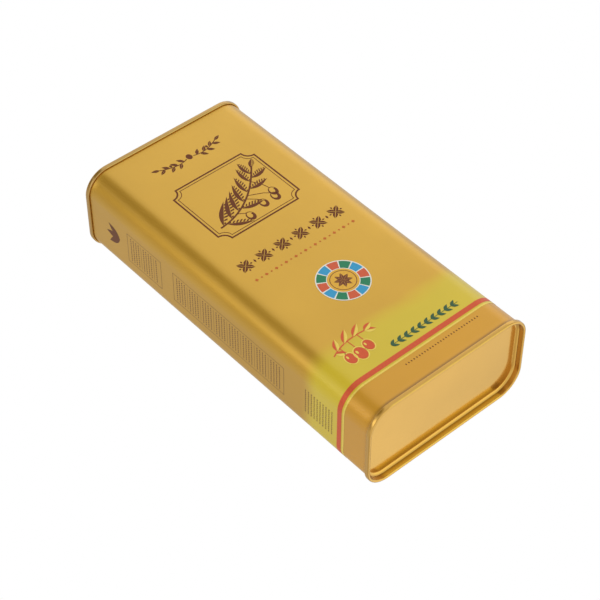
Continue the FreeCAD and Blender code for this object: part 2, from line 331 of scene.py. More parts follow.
def shade_of(tree, colour, amount, scale):
    """A colour that drifts a little lighter and darker over the surface."""
    level = spread(tree, noise(tree, scale), 1 - amount, 1 + amount)
    grey = node(tree, "ShaderNodeCombineColor", dict.fromkeys(("Red", "Green", "Blue"), level))
    return blend_colours(tree, 1.0, colour, grey.outputs["Color"], "MULTIPLY")


def long_sides(tree, place, at_ends):
    """One along the front and back, falling over the corners to what the narrow sides have."""
    across = math_node(tree, "ABSOLUTE", place["X"])
    return over(tree, across, 1.0, at_ends, (FLAT_X, WIDTH / 2))


def outside_wall(tree, place):
    """How far a point lies outside the body's wall, in metres."""
    squares = []
    for axis, flat in (("X", FLAT_X), ("Y", FLAT_Y)):
        reach = math_node(tree, "SUBTRACT", math_node(tree, "ABSOLUTE", place[axis]), flat * MM)
        reach = math_node(tree, "MAXIMUM", reach, 0.0)
        squares.append(product(tree, reach, reach))
    from_corner = math_node(tree, "SQRT", math_node(tree, "ADD", *squares))
    return math_node(tree, "SUBTRACT", from_corner, CORNER * MM)


# Materials. Spans are millimetres: z from the base, n from the wall, depth from the nearer rim.

GOLD = linear(205, 161, 62)
BAND_YELLOW = linear(220, 193, 30)
FOOT_GOLD = linear(214, 155, 33)
# painted shade: the darker gold of the shade lines where the body wall meets the lower seam and on the
# chuck walls' inner faces
CREASE_SHADE_GOLD = linear(140, 98, 28)
END_GOLD = linear(208, 161, 72)
# painted shade: the duller gold of the seam faces
SEAM_SHADE_GOLD = linear(184, 148, 84)

BAND_EDGE_Z = (38.0, 50.0)
BAND_DRIFT = 3.0
FOOT_EDGE_Z = (18.5, 19.0)
# the span of z for the wall's painted shade line above the lower seam
WALL_SHADE_Z = (3.0, 5.0)
LACQUER_METAL, INK_METAL = 0.9, 0.12
FOOT_SHOWS_METAL = 0.33

# painted shade on the seam faces: full on the top seam, a quarter on the lower seam, changing over the span
# of z below
SEAM_FACE_N = (0.1, 0.5)
SEAM_SHADE_Z = (100.0, 120.0)
FOOT_SEAM_SHADE = 0.25
CHUCK_INSIDE_N, CHUCK_OUTSIDE_N = (-0.66, -0.56), (-0.4, -0.2)
# the depth span of the painted shade on the chuck walls' inner faces
CHUCK_SHADE_DEPTH = (0.8, 3.0)


def printed_tinplate():
    """Satin gold lacquer with a soft yellow band, a golden foot and a painted shade line where the wall
    meets the lower seam.
    """
    material, tree, shader = new_material("printed_tinplate")
    place = position(tree)
    drift = spread(tree, noise(tree, scale=28, detail=2.0), -BAND_DRIFT * MM, BAND_DRIFT * MM)
    band = over(tree, math_node(tree, "ADD", place["Z"], drift), 1.0, 0.0, BAND_EDGE_Z, smooth=True)
    foot = over(tree, place["Z"], 1.0, 0.0, FOOT_EDGE_Z)
    # painted shade: a dark line on the wall just above the lower seam, full on the front and back, a
    # quarter on the narrow sides
    crease_shade = over(tree, place["Z"], 0.9, 0.0, WALL_SHADE_Z, smooth=True)
    crease_shade = product(tree, crease_shade, long_sides(tree, place, at_ends=0.25))
    colour = blend_colours(tree, band, GOLD, BAND_YELLOW)
    colour = blend_colours(tree, foot, colour, FOOT_GOLD)
    colour = blend_colours(tree, crease_shade, colour, CREASE_SHADE_GOLD)
    inked = math_node(tree, "SUBTRACT", band, product(tree, foot, FOOT_SHOWS_METAL))
    grain = noise(tree, scale=1.0, detail=2.0, stretch=(5000, 5000, 140))
    feed(shader, {
        "Base Color": shade_of(tree, colour, amount=0.035, scale=24),
        "Metallic": spread(tree, inked, LACQUER_METAL, INK_METAL, 0.0, 1.0),
        "Roughness": spread(tree, grain, 0.30, 0.38),
        "Coat Weight": 0.35,
        "Coat Roughness": 0.16,
    })
    dents = math_node(tree, "ADD", noise(tree, scale=11, detail=1.0), product(tree, grain, 0.02))
    add_bump(tree, shader, dents, strength=0.35, distance=0.0006)
    return material


def end_tinplate():
    """Bright gold lacquer of the stamped ends, with fine rolling grain, painted shade on the seam faces,
    more on the top seam than on the lower one, and a painted shade band on the chuck walls' inner faces
    along the long sides.
    """
    material, tree, shader = new_material("gold_tinplate")
    place = position(tree)
    outside = outside_wall(tree, place)
    from_middle = math_node(tree, "ABSOLUTE", math_node(tree, "SUBTRACT", place["Z"], HEIGHT / 2 * MM))
    depth = math_node(tree, "SUBTRACT", HEIGHT / 2 * MM, from_middle)
    # painted shade: the seam faces darkened, fully at the top seam and a quarter at the lower seam
    seam_shade = product(tree, over(tree, outside, 0.0, 1.0, SEAM_FACE_N),
                     over(tree, place["Z"], FOOT_SEAM_SHADE, 1.0, SEAM_SHADE_Z))
    # painted shade: a dark band on each chuck wall's inner face, along the front and back only
    crease_shade = product(tree, over(tree, outside, 0.0, 1.0, CHUCK_INSIDE_N),
                     over(tree, outside, 1.0, 0.0, CHUCK_OUTSIDE_N),
                     over(tree, depth, 0.0, 1.0, CHUCK_SHADE_DEPTH),
                     long_sides(tree, place, at_ends=0.0))
    colour = blend_colours(tree, seam_shade, END_GOLD, SEAM_SHADE_GOLD)
    colour = blend_colours(tree, crease_shade, colour, CREASE_SHADE_GOLD)
    grain = noise(tree, scale=1.0, detail=2.0, stretch=(160, 5200, 5200))
    feed(shader, {
        "Base Color": shade_of(tree, colour, amount=0.03, scale=30),
        "Metallic": 0.92,
        "Roughness": spread(tree, grain, 0.13, 0.18),
        "Coat Weight": 0.3,
        "Coat Roughness": 0.12,
    })
    dents = math_node(tree, "ADD", noise(tree, scale=22, detail=1.0), product(tree, grain, 0.008))
    add_bump(tree, shader, dents, strength=0.3, distance=0.0003)
    return material


def ink(name, colour, metallic=0.25):
    """Printing ink over the lacquer, a little mottled."""
    material, tree, shader = new_material(name)
    feed(shader, {
        "Base Color": shade_of(tree, colour, amount=0.06, scale=900),
        "Metallic": metallic,
        "Specular IOR Level": 0.3,
        "Roughness": spread(tree, noise(tree, scale=1400), 0.31, 0.41),
    })
    return material


def plastic(name, colour, roughness, subsurface=0.0):
    """Moulded plastic with a faint eggshell surface."""
    material, tree, shader = new_material(name)
    surface = noise(tree, scale=2600, detail=2.0)
    feed(shader, {
        "Base Color": shade_of(tree, colour, amount=0.025, scale=120),
        "Roughness": spread(tree, surface, roughness - 0.04, roughness + 0.06),
    })
    if subsurface:
        feed(shader, {"Subsurface Weight": subsurface, "Subsurface Radius": (0.0015, 0.0012, 0.0009)})
    add_bump(tree, shader, surface, strength=0.08, distance=0.0001)
    return material


def rubber(name, colour):
    """Matte rubber, unevenly dull."""
    material, tree, shader = new_material(name)
    feed(shader, {
        "Base Color": shade_of(tree, colour, amount=0.08, scale=400),
        "Roughness": spread(tree, noise(tree, scale=900), 0.6, 0.8),
    })
    return material


PRINTED = printed_tinplate()
ENDS = end_tinplate()
WHITE_PLASTIC = plastic("spout_plastic", linear(238, 234, 222), roughness=0.38, subsurface=0.12)
CAP_PLASTIC = plastic("cap_plastic", linear(222, 176, 62), roughness=0.28)
LINER = plastic("liner_foam", linear(240, 238, 230), roughness=0.55)
COMPOUND = rubber("sealing_compound", linear(150, 146, 136))
GASKET = rubber("gasket_rubber", linear(92, 92, 92))


# Tin body and ends

STATIONS = wall_stations()
WALL_ROWS, INSIDE_ROWS = 36, 6
WELD_ROWS, WELD_DIP, WELD_CLEARANCE = 110, 0.7, 0.001
PANEL_FLAT = 1.0
NECK_BORE = 14.6
NECK_FOOT = 0.8
NECK_FLAT = 0.8
NECK_HEIGHT = 4.6
NECK_SEGMENTS = 96
CURL = 0.94


def body_section():
    """Closed section of the body plate, hooks included."""
    rim_low = arc(FLARE_N, FLARE_Z, HOOK_IN / 2 + BODY_PLATE, 180, 360, 8)
    inner_low = arc(FLARE_N, FLARE_Z, HOOK_IN / 2, 360, 180, 6)
    tip = FLARE_Z + BODY_HOOK
    low = rim_low + [(HOOK_OUT, tip), (HOOK_IN, tip)] + inner_low
    tall = HEIGHT - 2 * FLARE_Z
    wall = [(0.0, FLARE_Z + tall * row / WALL_ROWS) for row in range(1, WALL_ROWS)]
    high = [(outward, HEIGHT - height) for outward, height in reversed(low)]
    inside = [(-BODY_PLATE, HEIGHT - FLARE_Z - tall * row / INSIDE_ROWS) for row in range(1, INSIDE_ROWS)]
    return low + wall + high + inside


def end_section(sink, shoulder):
    """Section of a stamped end from its panel to its panel again, z measured from the rim."""
    bend_n = CHUCK_IN - shoulder * math.sin(math.radians(SHOULDER_TURN))
    bend_z = sink - shoulder
    far_turn = math.degrees(math.acos((CHUCK_OUT - bend_n) / (shoulder + END_PLATE)))
    rim_left = CHUCK_IN + RIM_BEND
    rim_right = SEAM_OUT - RIM_BEND
    roll_n = (SEAM_OUT + COVER_IN) / 2
    roll_z = SEAM_HEIGHT - (SEAM_OUT - COVER_IN) / 2
    hook_tip = FLARE_Z + COVER_HOOK_GAP
    section = [(bend_n - PANEL_FLAT, sink)]
    section += arc(bend_n, bend_z, shoulder, 90, 90 - SHOULDER_TURN, 8)
    section += arc(rim_left, RIM_BEND, RIM_BEND, 180, 270, 7)
    section += arc(rim_right, RIM_BEND, RIM_BEND, 270, 360, 7)
    section += arc(roll_n, roll_z, (SEAM_OUT - COVER_IN) / 2, 0, 180, 12)
    section += [(COVER_IN, hook_tip), (COVER_OUT, hook_tip)]
    section += arc(roll_n, roll_z, (SEAM_IN - COVER_OUT) / 2, 180, 0, 6)
    section += arc(rim_right, RIM_BEND, RIM_BEND - END_PLATE, 360, 270, 4)
    section += arc(rim_left, RIM_BEND, RIM_BEND - END_PLATE, 270, 180, 4)
    section += arc(bend_n, bend_z, shoulder + END_PLATE, far_turn, 90, 7)
    section += [(bend_n - PANEL_FLAT, sink + END_PLATE)]
    return section


def add_weld(mesh_data):
    """The rippled bead of the lap weld up the middle of the right side."""
    low = SEAM_HEIGHT + WELD_MARGIN
    high = HEIGHT - low
    bead = [(across * WELD_WIDTH / 2, proud * WELD_PROUD)
            for across, proud in ((-1.0, 0.0), (-0.7, 0.8), (0.0, 1.0), (0.7, 0.8), (1.0, 0.0))]
    rings = []
    for row in range(WELD_ROWS + 1):
        height = low + (high - low) * row / WELD_ROWS
        ripple = WELD_DIP if row % 2 else 1.0
        places = [(WIDTH / 2 + proud * ripple + WELD_CLEARANCE, across, height) for across, proud in bead]
        rings.append([mesh_data.verts.new(Vector(place) * MM) for place in places])
    for lower, upper in zip(rings, rings[1:]):
        bridge(mesh_data, lower, upper, closed=False)


def make_body():
    """The body wall with its hooks and weld."""
    mesh_data = bmesh.new()
    add_sweep(mesh_data, body_section(), STATIONS, closed=True)
    add_weld(mesh_data)
    replace_node(mesh_data, "tin_wall", "tin", PRINTED, "body_shell", sharp=50)


def make_bottom():
    """The bottom end, its panel closed on both faces."""
    mesh_data = bmesh.new()
    rings = add_sweep(mesh_data, end_section(BASE_SINK, BASE_SHOULDER), STATIONS, closed=False)
    mesh_data.faces.new(rings[0])
    mesh_data.faces.new(rings[-1])
    replace_node(mesh_data, "tin_bottom", "tin", ENDS, "bottom_end", sharp=30)


def neck_section():
    """The drawn and curled neck, from the panel's upper face round to its lower face."""
    foot = NECK_BORE + END_PLATE + NECK_FOOT
    centre = NECK_BORE + CURL
    curl_z = NECK_HEIGHT - CURL
    section = [(foot + NECK_FLAT, 0.0)]
    section += arc(foot, NECK_FOOT, NECK_FOOT, 270, 180, 6)
    section += arc(centre, curl_z, CURL - END_PLATE, 180, -90, 16)
    section += arc(centre, curl_z, CURL, -90, 180, 18)
    section += arc(foot, NECK_FOOT, NECK_FOOT + END_PLATE, 180, 270, 6)
    section += [(foot + NECK_FLAT, -END_PLATE)]
    return section


def make_top():
    """The top end, its panel filled between the rim and the neck on both faces."""
    mesh_data = bmesh.new()
    section = [(outward, HEIGHT - depth) for outward, depth in end_section(COUNTERSINK, SHOULDER)]
    rim = add_sweep(mesh_data, section, STATIONS, closed=False)
    neck = add_lathe(mesh_data, neck_section(), NECK_SEGMENTS, closed=False)
    for panel_edges in ((rim[0], neck[0]), (rim[-1], neck[-1])):
        borders = []
        for ring in panel_edges:
            borders += [mesh_data.edges.get(pair) for pair in zip(ring, ring[1:] + ring[:1])]
        bmesh.ops.triangle_fill(mesh_data, edges=borders, use_beauty=True, normal=(0, 0, 1))
    replace_node(mesh_data, "tin_top", "tin", ENDS, "top_end", sharp=30)


make_body()
make_bottom()
make_top()


# Closure: radii from the spout's axis and heights from the top panel

DECK_LOW, DECK_HIGH = 5.2, 6.2
DECK_EDGE = ((0.0, 0.55), (0.25, 0.2), (0.7, 0.0))  # rounded edge, inward and down from its corner
SLEEVE_IN, SLEEVE_OUT, SLEEVE_DEPTH = 13.0, 14.3, 16.5
SKIRT_IN, SKIRT_OUT, SKIRT_LOW = 16.63, 18.38, 0.5
SNAP_BITE, SNAP_LOW, SNAP_GAP = 0.85, 0.925, 0.3
LIP_IN, LIP_LOW, LIP_CHAMFER = 12.1, 4.4, 0.4
TUBE_IN, TUBE_OUT = 10.7, 11.9
FOOT_OUT, FOOT_LOW, FOOT_HIGH = 12.8, -16.2, -14.8
REST_LOW, REST_HIGH, REST_OUT = 6.4, 7.0, 13.2
PAWL_LOW, PAWL_HIGH, PAWL_IN = 7.2, 7.9, 12.3
BEAD_LOW, BEAD_HIGH, BEAD_OUT = 8.3, 8.8, 12.7
MOUTH, MOUTH_CHAMFER = 11.6, 0.4
BAND_LOW, BAND_HIGH, BAND_IN = 6.5, 8.6, 13.8
CAP_LOW, CAP_ROOF, CAP_HIGH = 8.8, 12.6, 13.8
CAP_IN, CAP_OUT, CAP_ROUND, CAP_CHAMFER = 13.6, 15.2, 0.8, 0.3
DISH_OUT, DISH_DEPTH = 13.0, 0.4
DISH_LIP, DISH_EDGE, DISH_FOOT = 0.25, 0.08, 0.4
SKIRT_SHARES = (0, 0.3, 0.6, 0.85, 0.92, 1.0)  # rows up the cap's skirt, close where the grips fade
GRIPS, GRIP_SEGMENTS = 40, 10
GRIP_RADIUS, GRIP_OFFSET, GRIP_FADE = 0.5, 0.2, 0.5
BRIDGES, BRIDGE_HALF_ANGLE = 16, 0.016
BRIDGE_RADII = (CAP_OUT - 0.75, CAP_OUT - 0.2)
BRIDGE_HEIGHTS = (BAND_HIGH - 0.05, BAND_HIGH + 0.12)
BOX_FACES = ((0, 1, 3, 2), (4, 6, 7, 5), (0, 4, 5, 1), (2, 3, 7, 6), (1, 5, 7, 3), (0, 2, 6, 4))
THREAD_LEAD, THREAD_STARTS, THREAD_STEPS = 9.0, 3, 28
THREAD_BURIED, THREAD_FLAT, THREAD_TAPER = 0.1, 0.35, 0.2
SEGMENTS = 144


def add_threads(mesh_data, root, depth, tall, base, first, turn):
    """Tapered helical ribs on a cylinder, evenly started. A negative depth makes them point inward."""
    half = tall / 2
    buried = root - math.copysign(THREAD_BURIED, depth)
    for start in range(THREAD_STARTS):
        rings = []
        for step in range(THREAD_STEPS + 1):
            share = step / THREAD_STEPS
            angle = math.radians(first + 360 / THREAD_STARTS * start + turn * share)
            rise = base + THREAD_LEAD * turn * share / 360
            ridge = root + depth * min(1.0, share / THREAD_TAPER, (1 - share) / THREAD_TAPER)
            profile = [(buried, rise - half), (ridge, rise - half * THREAD_FLAT),
                       (ridge, rise + half * THREAD_FLAT), (buried, rise + half)]
            rings.append([mesh_data.verts.new(round_axis(radius, angle, z)) for radius, z in profile])
        skin(mesh_data, rings, closed=False)
        mesh_data.faces.new(rings[0])
        mesh_data.faces.new(rings[-1])


def make_spout_base():
    """Sleeve, deck, snap skirt and stop lip in one moulding."""
    mesh_data = bmesh.new()
    snap_top = NECK_HEIGHT - 2 * CURL - SNAP_GAP
    snap_in = SKIRT_IN - SNAP_BITE
    section = [(SLEEVE_IN, -SLEEVE_DEPTH), (SLEEVE_OUT, -SLEEVE_DEPTH), (SLEEVE_OUT, DECK_LOW)]
    section += [(SKIRT_IN, DECK_LOW), (SKIRT_IN, snap_top), (snap_in, snap_top - SNAP_BITE)]
    section += [(snap_in, SNAP_LOW), (SKIRT_IN - SNAP_BITE / 2, SKIRT_LOW), (SKIRT_OUT, SKIRT_LOW)]
    section += [(SKIRT_OUT - inward, DECK_HIGH - down) for inward, down in DECK_EDGE]
    section += [(LIP_IN + LIP_CHAMFER, DECK_HIGH), (LIP_IN, DECK_HIGH - LIP_CHAMFER)]
    section += [(LIP_IN, LIP_LOW), (SLEEVE_IN, LIP_LOW)]
    add_lathe(mesh_data, softened(section, radius=0.22), SEGMENTS)
    replace_node(mesh_data, "spout_seat", "tin", WHITE_PLASTIC, "spout_base")


def make_spout():
    """The pull-up tube with its foot, resting collar, band bead and thread."""
    mesh_data = bmesh.new()
    section = [(TUBE_IN, FOOT_LOW), (FOOT_OUT, FOOT_LOW), (FOOT_OUT, FOOT_HIGH), (TUBE_OUT, FOOT_HIGH)]
    section += [(TUBE_OUT, REST_LOW), (REST_OUT, REST_LOW), (REST_OUT, REST_HIGH), (TUBE_OUT, REST_HIGH)]
    section += [(TUBE_OUT, BEAD_LOW), (BEAD_OUT, BEAD_LOW), (TUBE_OUT, BEAD_HIGH)]
    section += [(TUBE_OUT, MOUTH - MOUTH_CHAMFER), (TUBE_OUT - MOUTH_CHAMFER, MOUTH), (TUBE_IN, MOUTH)]
    add_lathe(mesh_data, softened(section, radius=0.16), SEGMENTS)
    add_threads(mesh_data, TUBE_OUT, depth=0.7, tall=0.85, base=BEAD_HIGH + 0.5, first=0, turn=66)
    replace_node(mesh_data, "spout_tube", "spout", WHITE_PLASTIC, "pull_spout")


def make_band():
    """The tamper band with its pawl and the stubs of its broken bridges."""
    mesh_data = bmesh.new()
    section = [
        (PAWL_IN, PAWL_LOW), (BAND_IN, PAWL_LOW), (BAND_IN, BAND_LOW), (CAP_OUT, BAND_LOW),
        (CAP_OUT, BAND_HIGH), (BAND_IN, BAND_HIGH), (BAND_IN, PAWL_HIGH), (PAWL_IN, PAWL_HIGH),
    ]
    add_lathe(mesh_data, softened(section, radius=0.15), SEGMENTS)
    for number in range(BRIDGES):
        middle = 2 * math.pi * number / BRIDGES
        corners = []
        for radius in BRIDGE_RADII:
            for angle in (middle - BRIDGE_HALF_ANGLE, middle + BRIDGE_HALF_ANGLE):
                for height in BRIDGE_HEIGHTS:
                    corners.append(mesh_data.verts.new(round_axis(radius, angle, height)))
        for face in BOX_FACES:
            mesh_data.faces.new([corners[corner] for corner in face])
    replace_node(mesh_data, "tamper_ring", "spout", CAP_PLASTIC, "tamper_band")


def grip_radius(radius, height, angle):
    """Upright half-round grooves in the cap's skirt, faded out under its rounded shoulder."""
    if radius < CAP_OUT - TINY:
        return radius
    step = 2 * math.pi / GRIPS
    offset = (angle + step / 2) % step - step / 2
    inside = GRIP_RADIUS ** 2 - (offset * CAP_OUT) ** 2
    depth = max(0.0, math.sqrt(inside) - GRIP_OFFSET) if inside > 0 else 0.0
    fade = min(1.0, max(0.0, (CAP_HIGH - CAP_ROUND - height) / GRIP_FADE))
    return radius - depth * fade


def make_cap():
    """The ribbed cap, dished on top and threaded inside."""
    mesh_data = bmesh.new()
    shoulder = CAP_HIGH - CAP_ROUND
    dish = CAP_HIGH - DISH_DEPTH
    section = [(0.0, CAP_ROOF), (CAP_IN - CAP_CHAMFER, CAP_ROOF), (CAP_IN, CAP_ROOF - CAP_CHAMFER)]
    section += [(CAP_IN, CAP_LOW)]
    section += [(CAP_OUT, CAP_LOW + share * (shoulder - CAP_LOW)) for share in SKIRT_SHARES]
    section += arc(CAP_OUT - CAP_ROUND, shoulder, CAP_ROUND, 0, 90, 7)[1:]
    section += [(DISH_OUT + DISH_LIP, CAP_HIGH), (DISH_OUT, CAP_HIGH - DISH_EDGE)]
    section += [(DISH_OUT - DISH_DEPTH, dish), (DISH_OUT - DISH_DEPTH - DISH_FOOT, dish), (0.0, dish)]
    add_lathe(mesh_data, section, GRIPS * GRIP_SEGMENTS, closed=False, radius_at=grip_radius)
    add_threads(mesh_data, CAP_IN, depth=-0.65, tall=0.8, base=CAP_LOW + 0.6, first=70, turn=60)
    replace_node(mesh_data, "cap_shell", "cap", CAP_PLASTIC, "screw_cap")


make_spout_base()
make_spout()
make_band()
make_cap()

NODE_FINISHES = {
    "cap_liner": LINER,
    "neck_gasket": GASKET,
    "top_seam_compound": COMPOUND,
    "bottom_seam_compound": COMPOUND,
}
for node_name, finish in NODE_FINISHES.items():
    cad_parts[node_name].data.materials.clear()
    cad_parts[node_name].data.materials.append(finish)


# Printed ornament: flat shapes in (along, height) millimetres, laid on the wall

PRINT_LIFT = 0.02
LAYER_STEP = 0.0008
LAYERS = 11
STRIP_STEP = 1.2
LEAF_SKEW = 0.85
MITRE_LIMIT = 0.4


class Print:
    """One ink's shapes, gathered and then laid on the wall as one thin piece over the inks before it."""
    inks = []

    def __init__(self, name, colour, **look):
        self.name = name
        self.lift = PRINT_LIFT + LAYER_STEP * (LAYERS + 1) * len(Print.inks)
        self.material = ink(name, colour, **look)
        self.shapes = []
        Print.inks.append(self)

    def add(self, *shapes):
        self.shapes += shapes

    def strip(self, start, stop, low, high):
        """A band along the wall that follows its corners."""
        steps = max(1, math.ceil((stop - start) / STRIP_STEP))
        for step in range(steps):
            first = start + (stop - start) * step / steps
            second = start + (stop - start) * (step + 1) / steps
            self.add([(first, low), (second, low), (second, high), (first, high)])

    def lay(self):
        mesh_data = bmesh.new()
        for number, shape in enumerate(self.shapes):
            lift = self.lift + LAYER_STEP * (number % LAYERS)
            corners = [mesh_data.verts.new(on_wall(along, height, lift)) for along, height in shape]
            mesh_data.faces.new(corners)
        bmesh.ops.triangulate(mesh_data, faces=mesh_data.faces)
        make_piece(mesh_data, self.name, "tin", self.material)


def moved(shape, along, height, turn=0.0, mirror=False):
    """A shape mirrored left to right if asked, turned by degrees and put in place."""
    cosine, sine = math.cos(math.radians(turn)), math.sin(math.radians(turn))
    side = -1 if mirror else 1
    return [(along + side * x * cosine - y * sine, height + side * x * sine + y * cosine) for x, y in shape]


def all_moved(shapes, along, height, turn=0.0, mirror=False):
    return [moved(shape, along, height, turn, mirror) for shape in shapes]


def oval(along, height, wide, tall, start=0, stop=360, steps=36):
    """Points on an oval of two half sizes between two angles in degrees, ends included."""
    return [(along + wide * x, height + tall * y) for x, y in arc(0, 0, 1.0, start, stop, steps)]


def disc(along, height, wide, tall, steps=36):
    """A filled oval of two half sizes."""
    return oval(along, height, wide, tall, steps=steps)[:-1]


def between(outer, inner):
    """Quads between two runs of the same number of points."""
    return [[a, b, d, c] for a, b, c, d in zip(outer, outer[1:], inner, inner[1:])]


def ring_sector(along, height, inner, outer, start, stop, steps):
    """Quads of a ring between two angles in degrees."""
    return between(oval(along, height, outer, outer, start, stop, steps),
                   oval(along, height, inner, inner, start, stop, steps))


def lozenge(along, height, wide, tall):
    return disc(along, height, wide / 2, tall / 2, steps=4)


def leaf_swell(share):
    """Half width of a leaf, of 1 at most, a share of its length from the stalk."""
    return math.sin(math.pi * share ** LEAF_SKEW)


def leaf(length, width, side=0, steps=12, rib=0.05):
    """A pointed leaf along +x. side picks one half, each clear of the midrib."""
    def edge(sign):
        shares = [step / steps for step in range(steps + 1)]
        return [(length * share, sign * max(rib, width / 2 * leaf_swell(share))) for share in shares]
    if side:
        return edge(side) + [(length, side * rib), (0, side * rib)]
    return edge(-1) + edge(1)[::-1]


def hatched_leaf(length, width, bars=7):
    """A leaf with one full half and one half cut by fine engraved lines."""
    shapes = [leaf(length, width, 1)]
    bar_width, first_bar, bar_reach, bar_lean = 0.26, 0.8, 0.96, 0.55
    thick = length / (bars + 1) * bar_width
    rib = -0.12
    for bar in range(bars):
        share = (bar + first_bar) / (bars + 1)
        reach = width / 2 * leaf_swell(share) * bar_reach
        x, tip = length * share, length * share + reach * bar_lean
        shapes.append([(x - thick, rib), (x + thick, rib), (tip + thick, -reach), (tip - thick, -reach)])
    return shapes


def line(points, width):
    """A polyline of even width, as quads with mitred joints."""
    places = [Vector(point) for point in points]
    sides = []
    for index, here in enumerate(places):
        before = (here - places[index - 1]).normalized() if index else (places[1] - here).normalized()
        after = (places[index + 1] - here).normalized() if index + 1 < len(places) else before
        middle = (before + after).normalized()
        across = Vector((-middle.y, middle.x)) * (width / 2 / max(MITRE_LIMIT, middle.dot(before)))
        sides.append((tuple(here + across), tuple(here - across)))
    left, right = zip(*sides)
    return between(left, right)


def notched_frame(along, height, wide, tall, notch, width):
    """A rectangular line frame whose corners are scooped inward."""
    points = []
    for side, end, start in ((1, 1, 270), (-1, 1, 360), (-1, -1, 90), (1, -1, 180)):
        points += arc(along + side * wide / 2, height + end * tall / 2, notch, start, start - 90, 8)
    return line(points + points[:2], width)


def stem(start, control, stop, width, steps=14):
    """Points along a curved stroke, and the stroke's shapes."""
    points = bend(Vector(start), Vector(control), Vector(stop), steps)
    return points, line(points, width)


def heading_at(points, step):
    """Direction in degrees of a run of points at one of them."""
    (x, y), (next_x, next_y) = points[step:step + 2]
    return math.degrees(math.atan2(next_y - y, next_x - x))


RULE = Print("print_rule", linear(122, 80, 44), metallic=0.3)
BROWN = Print("print_brown", linear(106, 54, 16), metallic=0.35)
RED = Print("print_red", linear(216, 92, 54))
ORANGE = Print("print_orange", linear(200, 108, 40))
YELLOW = Print("print_yellow", linear(240, 212, 96))
GREEN = Print("print_green", linear(62, 96, 66))
WHITE = Print("print_white", linear(244, 240, 228), metallic=0.0)
BLUE = Print("print_blue", linear(58, 160, 206), metallic=0.1)
LEAF_GREEN = Print("print_leaf_green", linear(40, 132, 92), metallic=0.1)
CORAL = Print("print_coral", linear(216, 98, 62), metallic=0.1)
HONEY = Print("print_honey", linear(222, 172, 66), metallic=0.5)
BROWN_OVER = Print("print_brown_over", linear(120, 66, 36), metallic=0.2)


def crest(along, height):
    """A small branch pair at the head of the panel."""
    BROWN.add(disc(along, height, 1.7, 2.125))
    points, stroke = stem((2.2, -0.6), (9, -3.4), (18.5, 1.6), 0.5)
    leaf_leans = {2: 50, 4: -48, 6: 50, 8: -40, 10: 50, 12: -28, 14: 22}
    berry_steps, berry_rise = (3, 9), 1.4
    for mirror in (False, True):
        side = -1 if mirror else 1
        BROWN.add(*all_moved(stroke, along, height, mirror=mirror))
        for step, lean in leaf_leans.items():
            halves = [leaf(4.6, 1.9, half) for half in (1, -1)]
            leaves = all_moved(halves, *points[step], lean)
            BROWN.add(*all_moved(leaves, along, height, mirror=mirror))
        for step in berry_steps:
            x, y = points[step]
            BROWN.add(disc(along + side * x, height + y + berry_rise, 0.75, 0.975, 16))


def fruit(along, height, wide, tall):
    """An oval fruit with a bare highlight at its upper left."""
    rim = between(oval(along, height, wide, tall, steps=28),
                  oval(along, height, wide * 0.84, tall * 0.87, steps=28))
    shade = between(oval(along, height, wide * 0.86, tall * 0.88, 125, 385, 20),
                    oval(along - wide * 0.12, height + tall * 0.16, wide * 0.55, tall * 0.58, 125, 385, 20))
    return rim + shade


def sprig_panel(along, height):
    """A scooped double frame round a fruiting branch."""
    BROWN.add(*notched_frame(along, height, wide=54, tall=46, notch=5.0, width=0.95))
    BROWN.add(*notched_frame(along, height, wide=50.4, tall=42.4, notch=4.6, width=0.4))
    points, stroke = stem((-22, -14), (0, -13), (20, 12), 1.0, 20)
    BROWN.add(*all_moved(stroke, along, height))
    for number, step in enumerate((1, 4, 7, 10, 13, 16, 18)):
        blades = hatched_leaf(18.5 - 1.2 * number, 5.0 - 0.2 * number)
        blades = all_moved(blades, *points[step], heading_at(points, step) + 44)
        BROWN.add(*all_moved(blades, along, height))
    for number, step in enumerate((2, 8, 14, 17)):
        blades = [[(x, -y) for x, y in blade] for blade in hatched_leaf(14.5 - 1.0 * number, 4.4)]
        blades = all_moved(blades, *points[step], heading_at(points, step) - 40)
        BROWN.add(*all_moved(blades, along, height))
    tip_x, tip_y = points[-1]
    BROWN.add(*all_moved(hatched_leaf(7.5, 3.2), along + tip_x - 1.0, height + tip_y - 1.0, 48))
    for step, across, drop in ((6, 4.6, -5.6), (11, 5.2, -8.2), (12, 11.0, -9.6), (16, 4.4, -13.0)):
        x, y = along + points[step][0], height + points[step][1]
        stalk = [(x, y), (x + across * 0.7, y + drop * 0.4), (x + across, y + drop + 3)]
        BROWN.add(*line(stalk, 0.45))
        BROWN.add(*fruit(x + across, y + drop, 2.5, 3.3))


def rosette(along, height):
    """Four leaves and four lozenges about a point."""
    for turn in (45, 135, 225, 315):
        for side in (1, -1):
            BROWN.add(moved(leaf(4.9, 2.7, side, rib=0.14), along, height, turn))
    for turn in (0, 90, 180, 270):
        BROWN.add(moved(lozenge(3.5, 0, 1.7, 1.1), along, height, turn))


def frieze(along, height):
    """A row of rosettes over a row of small beads."""
    rosettes, rosette_pitch = 6, 12.0
    beads, bead_pitch, bead_drop = 21, 3.2, 11.0
    for number in range(rosettes):
        rosette(along + (number - (rosettes - 1) / 2) * rosette_pitch, height)
    for number in range(rosettes - 1):
        BROWN.add(lozenge(along + (number - rosettes / 2 + 1) * rosette_pitch, height, 1.3, 2.6))
    for number in range(beads):
        place = along + (number - (beads - 1) / 2) * bead_pitch, height - bead_drop
        ORANGE.add(disc(*place, 0.5, 0.5, 12) if number % 2 else lozenge(*place, 2.1, 2.1))


